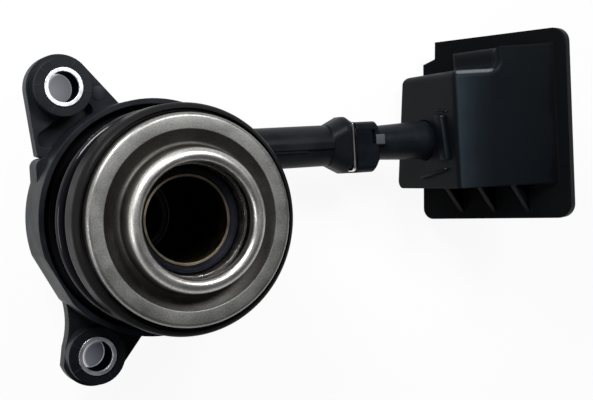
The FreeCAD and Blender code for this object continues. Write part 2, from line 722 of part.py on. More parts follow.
def make_spring():
    """Left-handed preload spring: pairs of tangent arcs follow the closed and the open coils."""
    end = spring_station(0)[2]
    count = math.ceil(end / 120)
    edges = []
    for number in range(count):
        first, out, _ = spring_station(end * number / count)
        last, back, _ = spring_station(end * (number + 1) / count)
        chord = last - first
        both = out + back
        spare = 4 - both.dot(both)
        lean = chord.dot(both)
        reach = (math.sqrt(lean * lean + spare * chord.dot(chord)) - lean) / spare
        first_knee = first + out * reach
        last_knee = last - back * reach
        joint = (first_knee + last_knee) / 2
        edges.append(tangent_arc(first, first_knee, joint))
        edges.append(tangent_arc(joint, last_knee, last))
    start, heading, _ = spring_station(0)
    ring = Part.Face(Part.Wire(Part.makeCircle(size("spring_wire"), start, heading)))
    item = doc.addObject("Part::Feature", "preload_spring")
    item.Label = "preload_spring"
    item.Shape = Part.Wire(edges).makePipe(ring)
    return part(item)


def make_bearing():
    """Release bearing: cover, fixed race, keeper, seal, balls, cage and contact ring."""
    shell = body("bearing_cover")
    inner_wall = "shell_r - shell_t"
    shoulder = "shell_top - sqrt(shell_round ^ 2 - (shell_round - shell_lip) ^ 2)"
    under_lip = shoulder + " + sqrt((shell_round - shell_t) ^ 2 - (shell_round - shell_lip) ^ 2)"
    turned(shell, [
        ("nose_r + seat_gap", "shell_low"),
        ("shell_r", "shell_low"),
        ("shell_r", shoulder, "shell_round", 1),
        ("shell_r - shell_lip", "shell_top"),
        ("shell_r - shell_lip", under_lip, "shell_round - shell_t", -1),
        (inner_wall, shoulder),
        (inner_wall, "shell_low + shell_t"),
        ("nose_r + seat_gap", "shell_low + shell_t"),
    ])
    part(shell)

    centre_z = "shell_low + shell_t + race_t + ball_r + race_gap"
    race_r = "(ball_r + race_gap)"
    race = body("fixed_race")
    low = "shell_low + shell_t"
    turned(race, [
        ("nose_r + keeper_t + 3 * seat_gap", low),
        ("ball_pitch_r + ball_r - 0.6", low),
        polar("ball_pitch_r", centre_z, race_r, "-50") + (race_r, -1),
        polar("ball_pitch_r", centre_z, race_r, "-165"),
        ("ball_pitch_r - ball_r - 0.8", centre_z + " - 0.7"),
        ("nose_r + keeper_t + 3 * seat_gap + 1.4", low + " + 2.2"),
        ("nose_r + keeper_t + 3 * seat_gap", low + " + 2.2"),
    ])
    part(race)

    keeper = body("bearing_keeper")
    turned(keeper, [
        ("nose_r + seat_gap", low),
        ("nose_r + seat_gap + keeper_t", low),
        ("nose_r + seat_gap + keeper_t", "keeper_top"),
        ("nose_r + seat_gap", "keeper_top"),
    ])
    part(keeper)

    guard = body("bearing_seal")
    foot = "shell_r - shell_t - seat_gap"
    turned(guard, [
        ("guard_r", "guard_low"),
        (foot, "guard_low"),
        (foot, "guard_low + 0.9"),
        ("guard_r + guard_t", "guard_low + 0.9"),
        ("guard_r + guard_t", "guard_top"),
        ("guard_r", "guard_top"),
    ])
    part(guard)

    ring = body("contact_ring")
    under_r = "(ball_r + race_gap)"
    turned(ring, [
        ("ring_r", "ring_low"),
        ("ring_r", "face_top - 1.2", "1.2", 1),
        ("ring_r - 1.2", "face_top"),
        ("face_in", "face_top"),
        ("face_in - 0.25", "face_top - 0.25"),
        ("valley_r + 0.6", "face_top - valley_drop", "2.2", -1),
        ("valley_r - 1.6", "face_top + 0.9"),
        ("lip_peak + 1.75", "lip_top - 1.75", "1.75", 1),
        ("lip_peak", "lip_top", "1.8", 1),
        ("lip_in", "lip_top - 1.8"),
        ("lip_in", "lip_low"),
        ("lip_in + 1.2", "lip_low"),
        ("valley_r - 1.6 - sheet_t", "face_top - 0.6"),
        ("valley_r", "face_top - valley_drop - sheet_t"),
        polar("ball_pitch_r", centre_z, under_r, "105") + (under_r, -1),
        polar("ball_pitch_r", centre_z, under_r, "5"),
        ("ball_pitch_r + ball_r + 0.8", centre_z + " + 0.2"),
        ("ball_pitch_r + ball_r + 0.9", "ring_low"),
    ])
    part(ring)
    make_balls(centre_z)


def make_balls(centre_z):
    """Balls on their pitch circle, and the cage that spaces them."""
    balls = body("bearing_balls")
    balls.AllowCompound = True
    drawing = sketch(balls, "XZ_Plane")
    outline(drawing, [
        ("ball_pitch_r", centre_z + " - ball_r", "ball_r", 1),
        ("ball_pitch_r + ball_r", centre_z, "ball_r", 1),
        ("ball_pitch_r", centre_z + " + ball_r"),
    ])
    foot = Vector(size("ball_pitch_r"), size("shell_low"), 0)
    index = drawing.addGeometry(Part.LineSegment(foot, foot + Vector(0, size("ball_r"), 0)), True)
    drawing.addConstraint(Sketcher.Constraint("Vertical", index))
    fix_point(drawing, index, 1, "ball_pitch_r", "shell_low")
    ball = balls.newObject("PartDesign::Revolution", "Ball")
    ball.Profile = drawing
    ball.ReferenceAxis = (drawing, ["Axis0"])
    ball.Angle = 360
    round_axis(balls, ball)
    part(balls)

    cage = body("ball_cage")
    turned(cage, [
        ("ball_pitch_r - ball_r - 0.5", centre_z + " - 0.35"),
        ("ball_pitch_r + ball_r + 0.4", centre_z + " - 1"),
        ("ball_pitch_r + ball_r + 0.4", centre_z + " - 1 + cage_t"),
        ("ball_pitch_r - ball_r - 0.5", centre_z + " - 0.35 + cage_t"),
    ])
    hole = sketch(cage, "XY_Plane", centre_z + " - 2 * ball_r")
    circle(hole, "ball_pitch_r", "0", "ball_r + race_gap + 0.06")
    window = pocket(cage, hole, "4 * ball_r", reverse=True)
    round_axis(cage, window)
    part(cage)


def round_axis(owner, feature):
    """Repeats a feature once for every ball round the axis."""
    pattern = owner.newObject("PartDesign::PolarPattern", "Round")
    pattern.Originals = [feature]
    pattern.Axis = (next(i for i in owner.Origin.OriginFeatures if i.Role == "Z_Axis"), [""])
    pattern.Angle = 360
    tie(pattern, "Occurrences", "ball_count")
    owner.Tip = pattern


def make_coupling():
    """Line connector from the socket to the end block in the grommet, with its seal and clip."""
    item = body("line_connector")
    collar = "socket_end + collar_gap"
    collar_end = collar + " + collar_len"
    clip_start = "socket_end - clip_lip - clip_slot"
    clip_end = clip_start + " + clip_slot"
    turned_about(item, "XZ_Plane", "-pipe_y", [
        ("socket_end - socket_deep + 1", "pipe_z"),
        ("socket_end - socket_deep + 1", "pipe_z + spigot_fit"),
        ("o_ring_x - o_ring_r - seat_gap", "pipe_z + spigot_fit"),
        ("o_ring_x - o_ring_r - seat_gap", "pipe_z + socket_bore - 2 * o_ring_r - 2 * seat_gap"),
        ("o_ring_x + o_ring_r + seat_gap", "pipe_z + socket_bore - 2 * o_ring_r - 2 * seat_gap"),
        ("o_ring_x + o_ring_r + seat_gap", "pipe_z + spigot_fit"),
        (clip_start, "pipe_z + spigot_fit"),
        (clip_start, "pipe_z + clip_half - clip_wire - seat_gap"),
        (clip_end, "pipe_z + clip_half - clip_wire - seat_gap"),
        (clip_end, "pipe_z + spigot_fit"),
        (collar, "pipe_z + spigot_fit"),
        (collar_end, "pipe_z + tube_r"),
        ("tube_end", "pipe_z + tube_end_r"),
        ("tube_end + 1", "pipe_z + tube_end_r"),
        ("tube_end + 1", "pipe_z"),
    ], "pipe_z")
    make_collar(item, collar, collar_end)
    make_end_block(item)
    part(item)
    make_cross_ring("connector_seal", "o_ring_x", "socket_bore - o_ring_r - seat_gap", "o_ring_r")
    make_wire_clip("coupling_clip", "socket_end - clip_lip - clip_slot / 2", "clip_half", "clip_wire",
                   "pipe_y - clip_crown", "pipe_y + clip_tip", "clip_bend")


def make_collar(item, collar, collar_end):
    """Rounded collar in front of the socket, with its slot and the latch behind it."""
    middle = "pipe_y - collar_drop"
    plate = sketch(item, "XY_Plane", "pipe_z")
    outline(plate, [
        (collar, middle + " - collar_wide"),
        (collar_end + " - 2", middle + " - collar_wide"),
        (collar_end, middle + " - 0.5 * collar_wide"),
        (collar_end, middle + " + 0.7 * collar_wide"),
        (collar_end + " - 0.6", middle + " + collar_wide"),
        (collar, middle + " + collar_wide"),
    ])
    block = pad(item, plate, "collar_thick", both="collar_thick")
    thick = size("collar_thick")
    last = size("socket_end") + size("collar_gap") + size("collar_len")
    fillet(item, block, lambda edge: spread(edge)[0] > thick / 2 and near(spread(edge)[2], 0)
           and near(abs(edge.BoundBox.ZMin - size("pipe_z")), thick) and edge.BoundBox.XMax < last, "collar_round")
    slot = sketch(item, "XY_Plane", "pipe_z + collar_thick")
    box_outline(slot, collar_end + " - 2.3", "pipe_y - 0.3", collar_end + " - 1.1", "pipe_y + 4.1")
    pocket(item, slot, "clip_slot")
    latch = sketch(item, "XY_Plane", "pipe_z")
    box_outline(latch, collar_end + " - 0.8", "pipe_y - 0.8", collar_end + " + 2.3", "pipe_y + 1.1")
    pad(item, latch, "collar_thick + 0.2")


def make_end_block(item):
    """Block at the end of the tube with the line's port, the bleed screw's bore and the clip's slots."""
    front = "tube_end + block_len"
    block = sketch(item, "YZ_Plane", "tube_end")
    half = "block_h / 2"
    outline(block, [
        ("pipe_y - " + half, "pipe_z - " + half),
        ("pipe_y + " + half, "pipe_z - " + half),
        ("pipe_y + bleed_up + bleed_r + 2", "pipe_z - bleed_r - 2"),
        ("pipe_y + bleed_up + bleed_r + 2", "pipe_z + bleed_r + 2"),
        ("pipe_y + " + half, "pipe_z + " + half),
        ("pipe_y - " + half, "pipe_z + " + half),
    ])
    pad(item, block, "block_len")
    port = sketch(item, "YZ_Plane", front)
    circle(port, "pipe_y", "pipe_z", "port_r")
    pocket(item, port, "port_deep")
    mouth = sketch(item, "YZ_Plane", front)
    circle(mouth, "pipe_y", "pipe_z", "mouth_r")
    pocket(item, mouth, "port_deep / 2")
    duct = sketch(item, "YZ_Plane", "socket_end - socket_deep")
    circle(duct, "pipe_y", "pipe_z", "duct_r")
    pocket(item, duct, "tube_end + block_len - socket_end + socket_deep", reverse=True)
    bleed = sketch(item, "YZ_Plane", front)
    circle(bleed, "pipe_y + bleed_up", "pipe_z", "bleed_r + run_gap")
    pocket(item, bleed, "bleed_deep")
    for side in ("pipe_z + clip_reach - 1.5 * port_wire", "pipe_z - clip_reach - 1.5 * port_wire"):
        slot = sketch(item, "XZ_Plane", "-pipe_y - block_h")
        box_outline(slot, front + " - port_clip_back - 1.5 * port_wire", side,
                    front + " - port_clip_back + 1.5 * port_wire", side + " + 3 * port_wire")
        pocket(item, slot, "3 * block_h", reverse=True)


def make_cross_ring(label, x_text, pitch_r, section):
    """Round-section ring about the pipe's axis."""
    item = body(label)
    drawing = sketch(item, "XZ_Plane", "-pipe_y")
    circle(drawing, x_text, "pipe_z + " + pitch_r, section)
    height = worth(drawing, "pipe_z")
    index = drawing.addGeometry(Part.LineSegment(Vector(0, height, 0), Vector(GUIDE_LEN, height, 0)), True)
    drawing.addConstraint(Sketcher.Constraint("Horizontal", index))
    fix_point(drawing, index, 1, "0", "pipe_z")
    feature = item.newObject("PartDesign::Revolution", "Turned")
    feature.Profile = drawing
    feature.ReferenceAxis = (drawing, ["Axis0"])
    feature.Angle = 360
    return part(item)


def make_wire_clip(label, x_text, half, wire, crown, tip, bend):
    """Wire bent to a U across the pipe: its legs run along Y, half away from the pipe's axis."""
    item = body(label)
    path = sketch(item, "YZ_Plane", x_text)
    high, low = "pipe_z + " + half, "pipe_z - " + half
    outline(path, [
        (tip, high),
        ("%s + %s" % (crown, bend), high, bend, 1),
        (crown, high + " - " + bend),
        (crown, low + " + " + bend, bend, 1),
        ("%s + %s" % (crown, bend), low),
        (tip, low),
    ], closed=False)
    section = sketch(item, "XZ_Plane", "-(%s)" % tip)
    circle(section, x_text, high, wire)
    sweep = item.newObject("PartDesign::AdditivePipe", "Wire")
    sweep.Profile = section
    sweep.Spine = (path, [])
    return part(item)


def make_end_block_parts():
    """Clip of the line port, bleed screw and its cap."""
    front = "tube_end + block_len"
    make_wire_clip("port_clip", front + " - port_clip_back", "clip_reach", "port_wire",
                   "pipe_y - block_h / 2 - 1.4", "pipe_y + block_h / 2 - 2", "2 * port_wire")

    screw = body("bleed_screw")
    centre_y = "pipe_y + bleed_up"
    shank = sketch(screw, "YZ_Plane", front + " - bleed_deep + 0.6")
    circle(shank, centre_y, "pipe_z", "bleed_r")
    pad(screw, shank, "bleed_deep - 0.6 + body_gap")
    head = sketch(screw, "YZ_Plane", front + " + body_gap")
    reach = "bleed_hex / (2 * cos(30))"
    outline(head, [polar(centre_y, "pipe_z", reach, str(60 * side)) for side in range(6)])
    pad(screw, head, "bleed_head")
    nipple = sketch(screw, "YZ_Plane", front + " + body_gap + bleed_head")
    circle(nipple, centre_y, "pipe_z", "nipple_r")
    pad(screw, nipple, "nipple_len")
    part(screw)

    cap = body("bleed_cap")
    low = front + " + 2 * body_gap + bleed_head"
    outside = sketch(cap, "YZ_Plane", low)
    circle(outside, centre_y, "pipe_z", "nipple_r + run_gap + cap_wall")
    pad(cap, outside, "nipple_len + cap_wall")
    inside = sketch(cap, "YZ_Plane", low)
    circle(inside, centre_y, "pipe_z", "nipple_r + run_gap")
    pocket(cap, inside, "nipple_len", reverse=True)
    part(cap)


def make_grommet():
    """Rubber cap on a flange plate that closes the side window of the clutch housing."""
    item = body("grommet_shell")
    make_plate(item)
    make_box(item)
    hollow_box(item)
    for number in range(int(size("gusset_count"))):
        rib = sketch(item, "YZ_Plane", "gusset_place + gusset_step * %d" % number)
        outline(rib, [
            ("-box_down", "-plate_t / 6"),
            ("-box_down", "gusset_n"),
            ("-plate_down + rubber_t", "0"),
            ("-plate_down + rubber_t", "-plate_t / 6"),
        ])
        pad(item, rib, "gusset_t")
    item.Tip = item.Group[-1]
    item.Placement = Placement(Vector(size("plate_x"), size("pipe_y"), size("plate_z")),
                               Rotation(Vector(0, 1, 0), -size("plate_lean")))
    tie(item, "Placement.Base.x", "plate_x")
    tie(item, "Placement.Base.y", "pipe_y")
    tie(item, "Placement.Base.z", "plate_z")

    hole = doc.addObject("Part::Cylinder", "TubeHole")
    tie(hole, "Radius", "tube_end_r + seat_gap")
    tie(hole, "Height", "block_len")
    hole.Placement = Placement(Vector(), Rotation(Vector(0, 0, 1), Vector(1, 0, 0)))
    tie(hole, "Placement.Base.x", "tube_end - block_len")
    tie(hole, "Placement.Base.y", "pipe_y")
    tie(hole, "Placement.Base.z", "pipe_z")
    cut = doc.addObject("Part::Cut", "grommet")
    cut.Label = "grommet"
    cut.Base = item
    cut.Tool = hole
    return part(cut)


def make_plate(item):
    """Flange plate with its stepped corner; sketch X runs up along the plate."""
    plate = sketch(item, "XY_Plane", "-plate_t")
    outline(plate, [
        ("plate_low", "-plate_down"),
        ("plate_far - 0.75", "-plate_down"),
        ("plate_far", "plate_up"),
        ("plate_low + 8", "plate_up"),
        ("plate_low + 7.6", "plate_up - 5.5"),
        ("plate_low + 3", "plate_up - 7"),
    ])
    flange = pad(item, plate, "plate_t")
    far = size("plate_far") - 2
    down = -size("plate_down")
    corners = fillet(item, flange, lambda edge: spread(edge)[0] < 0.01 and spread(edge)[1] < 0.01
                     and edge.BoundBox.XMin > far, "plate_round")
    fillet(item, corners, lambda edge: spread(edge)[0] < 0.01 and near(edge.BoundBox.YMax, down)
           and edge.BoundBox.XMax < 0, "corner_round")


def make_box(item):
    """Solid box on the plate, with its low side leaning out at one end, and the raised step beside it."""
    sections = []
    for lift, reach in (("-box_up", "0"), ("box_down", "foot_s")):
        drawing = sketch(item, "XZ_Plane", lift)
        outline(drawing, [
            ("plate_low", "-plate_t / 2"),
            ("box_far_s", "-plate_t / 2"),
            ("box_far_s", "0"),
            ("box_peak_s", "box_peak_n"),
            ("box_low_s - " + reach, "box_low_n - %s * %s" % (reach, BOX_SLOPE)),
        ])
        sections.append(drawing)
    loft = item.newObject("PartDesign::AdditiveLoft", "Box")
    loft.Profile = sections[0]
    loft.Sections = sections[1:]
    loft.Ruled = True
    raised = sketch(item, "XZ_Plane")
    outline(raised, [
        ("step_low_s", "-plate_t / 2"),
        ("box_far_s", "-plate_t / 2"),
        ("box_far_s", "0"),
        ("step_s", "box_peak_n * " + FAR_SHARE),
        ("step_s - 2", "step_n"),
        ("step_low_s", "step_n - 2"),
    ])
    step = pad(item, raised, "-box_up + rubber_t", both="step_up")
    fillet(item, step, lambda edge: box_edge(edge) or low_edge(edge), "box_round")


def low_edge(edge):
    """The two upright edges of the box's low side."""
    bounds = edge.BoundBox
    return bounds.YLength < 0.01 and bounds.XMin < size("box_low_s") + 0.1 and bounds.ZMin < size("plate_t")


def hollow_box(item):
    """Space in the box for the end block and a tool, and the one in its raised step."""
    hollow = sketch(item, "XZ_Plane")
    outline(hollow, [
        ("plate_low + 2 * rubber_t", "-plate_t"),
        ("box_far_s - 2 * rubber_t", "-plate_t"),
        ("box_far_s - 2 * rubber_t", "0"),
        ("box_peak_s - 0.2", "box_peak_n - 1.3 * rubber_t"),
        ("box_low_s + 1.6 * rubber_t", "box_low_n - 0.2 * rubber_t"),
        ("plate_low + 2 * rubber_t", "0"),
    ])
    pocket(item, hollow, "box_down - rubber_t", reverse=True, both="box_up - rubber_t")
    step_hollow = sketch(item, "XZ_Plane")
    outline(step_hollow, [
        ("step_s + rubber_t", "-plate_t"),
        ("box_far_s - 2 * rubber_t", "-plate_t"),
        ("box_far_s - 2 * rubber_t", "0"),
        ("step_s + rubber_t", "box_peak_n * " + FAR_SHARE + " - 2.2 * rubber_t"),
    ])
    pocket(item, step_hollow, "-box_up + 2 * rubber_t", reverse=True, both="step_up - 1.4 * rubber_t")


def box_edge(edge):
    """Edges of the grommet's box that stand clear of its plate."""
    bounds = edge.BoundBox
    return bounds.ZMin > size("box_low_n") * 0.7 and bounds.ZMax < size("box_peak_n") + 1


def check_model():
    """Stops if an object failed or a cut removed nothing."""
    for item in doc.Objects:
        if "Invalid" in item.State or "Error" in item.State:
            raise RuntimeError("%s (%s) failed" % (item.Name, item.Label))
        if item.TypeId in ("PartDesign::Pocket", "PartDesign::Groove"):
            before = item.BaseFeature.Shape.Volume
            if item.Shape.Volume > before - 1e-6:
                raise RuntimeError("%s cuts nothing" % item.Name)
    for item in parts:
        if item.Shape.isNull() or not item.Shape.isValid():
            raise RuntimeError("%s has no valid shape" % item.Label)


def write_parts():
    os.makedirs("parts", exist_ok=True)
    for item in parts:
        item.Shape.exportStep("parts/%s.step" % item.Label)
        print("%-18s solids %2d volume %10.2f" % (item.Label, len(item.Shape.Solids), item.Shape.Volume))


fill_sheet()
make_housing()
make_bushes()
make_sleeve()
make_ring("sleeve_seal", "sleeve_r + cord_r + seat_gap", "chamber_floor - cord_place", "cord_r")
make_shaft_seal()
make_ring("garter_spring", "lip_r + lip_wall + garter_r + seat_gap", "-spigot_len + 3.6", "garter_r")
make_ring("pilot_seal", "spigot_r + ring_stand - ring_section", "-ring_place", "ring_section")
make_piston()
make_spring()
make_bearing()
make_coupling()
make_end_block_parts()
make_grommet()
doc.recompute()
check_model()
write_parts()
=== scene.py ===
import math

import bmesh
import bpy
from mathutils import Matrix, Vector


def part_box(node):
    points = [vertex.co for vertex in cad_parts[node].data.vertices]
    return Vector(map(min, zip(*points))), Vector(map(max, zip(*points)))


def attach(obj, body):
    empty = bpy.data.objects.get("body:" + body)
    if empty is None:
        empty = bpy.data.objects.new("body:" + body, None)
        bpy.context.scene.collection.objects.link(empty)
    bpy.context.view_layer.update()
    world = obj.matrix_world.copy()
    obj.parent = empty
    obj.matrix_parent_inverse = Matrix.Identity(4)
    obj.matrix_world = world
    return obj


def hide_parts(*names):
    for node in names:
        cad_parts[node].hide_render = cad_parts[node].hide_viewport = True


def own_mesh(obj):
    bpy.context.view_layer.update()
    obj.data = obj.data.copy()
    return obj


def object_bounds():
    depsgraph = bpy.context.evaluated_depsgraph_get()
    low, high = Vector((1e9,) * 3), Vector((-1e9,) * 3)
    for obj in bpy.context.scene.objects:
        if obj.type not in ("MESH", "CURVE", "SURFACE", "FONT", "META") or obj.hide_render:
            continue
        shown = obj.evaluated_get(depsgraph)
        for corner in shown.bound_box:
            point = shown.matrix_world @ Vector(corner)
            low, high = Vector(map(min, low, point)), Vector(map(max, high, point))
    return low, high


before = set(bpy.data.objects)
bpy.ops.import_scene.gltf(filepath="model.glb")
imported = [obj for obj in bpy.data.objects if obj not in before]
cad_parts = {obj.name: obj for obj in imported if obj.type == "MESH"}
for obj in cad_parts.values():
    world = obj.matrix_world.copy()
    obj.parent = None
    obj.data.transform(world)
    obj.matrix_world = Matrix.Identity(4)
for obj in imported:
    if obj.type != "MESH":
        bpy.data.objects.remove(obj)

cad_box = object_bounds()

# Sections and moulded details are in millimetres. What a shader, lamp or camera reads is in
# metres.
MM = 0.001

CAMERA_AT = (-0.09944, 0.01529, 0.30651)
CAMERA_TURN = (-0.7619, -26.1171, -3.7099)
CAMERA_LENS = 67.606
SENSOR_WIDTH = 36
NEAR_CLIP = 0.01

# Name, place, target, width and height, and watts of each soft lamp.
LAMPS = (
    ("key", (-0.2, 0.3, 0.28), (0, 0, 0.02), (0.16, 0.16), 2.4),
    ("top", (0.1, 0.2, 0.32), (0, 0.02, 0.02), (0.1, 0.1), 0.85),
    ("side", (-0.6, -0.1, 0.3), (0, 0, 0.02), (0.3, 0.2), 1.2),
)

ROOM_COLOUR = (0.95, 0.97, 1.0)
ROOM_LEVEL = 0.1
HORIZON_LEVEL = 0.97
HORIZON_BAND = (0.12, 0.3)

FLOOR_SIZE = 6
FLOOR_COLOUR = (0.8, 0.8, 0.8)
FLOOR_ROUGH = 0.9
FLOOR_GLOW = 0.93
# Painted shade: the floor turns black inside this distance from the axis, where it is seen down
# the sleeve.
BORE_SHADE_EDGE = (0.0165, 0.018)

# Shadows on the floor that the bushes show: middle of the dark core, middle of the ear's
# shadow, and the core's bright and dark tones.
EAR_SHADOWS = (
    ((-0.0162, 0.0382), (-0.0128, 0.0362), (0.15, 0.155, 0.18), (0.03, 0.036, 0.052)),
    ((-0.0108, -0.0412), (-0.0085, -0.0381), (0.10, 0.105, 0.13), (0.013, 0.016, 0.026)),
)
SHADOW_EDGE = (0.001, 0.0085)
SHADOW_LEFT = 0.1
CORE_EDGE = (0.0036, 0.0052)
CORE_SHIFT = (0.005, 0.002)
CORE_FADE = (0.0015, 0.0085)

# Part of a noise's range that carries a cloudy change.
CLOUD = (0.3, 0.7)

# Half section of the contact ring: rim and face, dish, rolled lip and ball groove.
RING_SIDES = 192
RING_OUTSIDE = 27.4
RING_INSIDE = 26.48
RING_FOOT = 36.4
RING_FACE = 42.7
RING_EDGE = 1.2
FACE_INSIDE = 23.27
FACE_EDGE = 0.2
DISH_MIDDLE = (19.94, 42.92)
DISH_ROUND = 1.2
LIP_R = 16.35
LIP_TOP = 48.2
LIP_OUTER_ROUND = 2.0
LIP_INNER_ROUND = 1.65
LIP_BACK = [(14.7, 45.4), (15.9, 45.4), (16.6, 42.1), (19.9, 40.0)]
GROOVE_MIDDLE = (23.2, 37.62)
GROOVE_R = 2.42
GROOVE_SHOULDER = (26.4, 37.82)

# Looks of the contact ring by the distance from its axis, less a share of the height. The dark
# dish tones are painted shade for the dish's dark reflection; the lip's light tones are partly
# polished steel and partly a painted highlight.
RING_LEAN = 0.35
RING_ZONES = (0.0135, 0.0278)
RING_TONES = (
    (0.0135, (0.42, 0.41, 0.40)), (0.0155, (0.50, 0.49, 0.475)), (0.0166, (0.44, 0.425, 0.40)),
    (0.0176, (0.12, 0.110, 0.10)), (0.0186, (0.05, 0.046, 0.042)), (0.0231, (0.06, 0.057, 0.053)),
    (0.02325, (0.33, 0.33, 0.315)), (0.0262, (0.30, 0.30, 0.288)), (0.0268, (0.24, 0.235, 0.225)),
)
RING_ROUGH = (
    (0.0135, 0.36), (0.0163, 0.42), (0.0178, 0.5), (0.0231, 0.5), (0.02325, 0.45),
    (0.0262, 0.45), (0.0268, 0.4),
)

# Looks of a bush by the depth under its end face, and of the guide sleeve by the height. The
# dark bush bore and the sleeve's darkening deeper inside are painted shade.
BUSH_TINT = (0.2, 0.21, 0.26, 1)
BUSH_CHAMFER = (0.6, 0.61, 0.64)
BUSH_BORE_SHADE = (0.012, 0.014, 0.024)
CHAMFER_DEPTH = 0.0005
BORE_DEPTH = 0.0009
SLEEVE_SPAN = (0.0, 0.039)
SLEEVE_TONES = (
    (0.0, (0.02, 0.017, 0.013)), (0.030, (0.03, 0.025, 0.019)), (0.0378, (0.08, 0.068, 0.048)),
    (0.0383, (0.30, 0.25, 0.18)),
)

# The grommet's plate: a point of it, the way to the box, and the way up along it. The box's
# front face and top edge, which carry painted highlights, are found by the way that they face.
PLATE_ORIGIN = (0.1048, 0.01715, -0.007)
PLATE_NORMAL = (-0.9121, 0, 0.4099)
PLATE_ALONG = (0.4099, 0, 0.9121)
BOX_FRONT = (-0.442, 0, 0.897)
TOP_EDGE = (-0.312, 0.707, 0.634)
# Painted highlight on the box's front face: brightest just past its edge, fading along the face.
FRONT_HIGHLIGHT_SPAN = (-0.012, 0.048)
FRONT_HIGHLIGHT_TONES = (
    (-0.012, (0.006, 0.008, 0.0105)), (0.0205, (0.01, 0.014, 0.018)),
    (0.0222, (0.015, 0.0215, 0.027)), (0.024, (0.010, 0.0145, 0.0185)),
    (0.027, (0.0052, 0.0075, 0.0098)), (0.031, (0.003, 0.0043, 0.0058)),
    (0.046, (0.0018, 0.0026, 0.0036)),
)
PLATE_TONE = (0.0008, 0.0012, 0.0018)
BOX_TONE = (0.0024, 0.0034, 0.0048)
# Painted highlight along the box's top edge.
EDGE_HIGHLIGHT_TONE = (0.085, 0.10, 0.11)

# Faces that carry moulded details: origin, the way across and the way up.
PIPE_Y = 17.15
LEVEL = ((0, 0, 0), (1, 0, 0), (0, 1, 0))
BOX_SIDE = ((96.16, PIPE_Y, -8.92), (0, -1, 0), (0, 0, 1))

# Name, outline, height and edge rounding of the ribs beside the tube.
RIB_ROOT = -0.4
BOX_RIBS = (
    ("grommet_side_rib", [(-7.9, 19.6), (-7.2, 23.4), (6.6, 25.4), (6.6, 21.9)], 1.6, 0.35),
    ("grommet_low_rib", [(12.6, 9.2), (11.7, 9.2), (9.1, 23.6), (9.9, 23.9)], 1.2, 0.25),
    ("grommet_slot_lip", [(-9.6, 19.0), (-8.9, 19.0), (-8.0, 25.0), (-8.7, 25.0)], 0.7, 0.2),
)

# The ears: ejector mark on the flat top, seams on the raised boss, as the boss's middle and
# the directions of its seams.
MARK_ROOT = 0.3
EAR_TOP = 4.5
EJECTOR_MIDDLE = (-11.1, 35.2)
EJECTOR_R = 2.1
EJECTOR_RISE = 0.15
BOSS_TOP = 8.6
BOSS_SEAMS = (
    ((-21.8, 36.85), (175, 140, 115, 62, -12, -118)),
    ((-17.4, -37.02), (150, 35, -60, -150)),
)
SEAM_REACH = (5.6, 7.9)
SEAM_HALF_WIDTH = 0.16
SEAM_RISE = 0.12

# Corners of the pad on the pipe and of the latch tab: low and high end of both sides.
PIPE_PAD = ((37.5, PIPE_Y - 1.9), (51, PIPE_Y - 0.7))
PIPE_PAD_HEIGHTS = (7.2, 8.45)
LATCH_TAB = ((74.9, 16.6), (78.05, 19.7))
LATCH_TAB_HEIGHTS = (6.6, 8.35)


def add_camera():
    """Camera at the picture's viewing angle."""
    data = bpy.data.cameras.new("Camera")
    data.lens = CAMERA_LENS
    data.sensor_width = SENSOR_WIDTH
    data.sensor_fit = "HORIZONTAL"
    data.clip_start = NEAR_CLIP
    camera = bpy.data.objects.new("Camera", data)
    camera.location = CAMERA_AT
    camera.rotation_euler = [math.radians(angle) for angle in CAMERA_TURN]
    bpy.context.scene.collection.objects.link(camera)
    bpy.context.scene.camera = camera


def add_lamp(name, origin, target, size, power):
    """Soft rectangular lamp at origin that shines at target."""
    data = bpy.data.lights.new(name, "AREA")
    data.shape = "RECTANGLE"
    data.size, data.size_y = size
    data.energy = power
    lamp = bpy.data.objects.new(name, data)
    lamp.location = origin
    way = Vector(target) - Vector(origin)
    lamp.rotation_euler = way.to_track_quat("-Z", "Y").to_euler()
    bpy.context.scene.collection.objects.link(lamp)


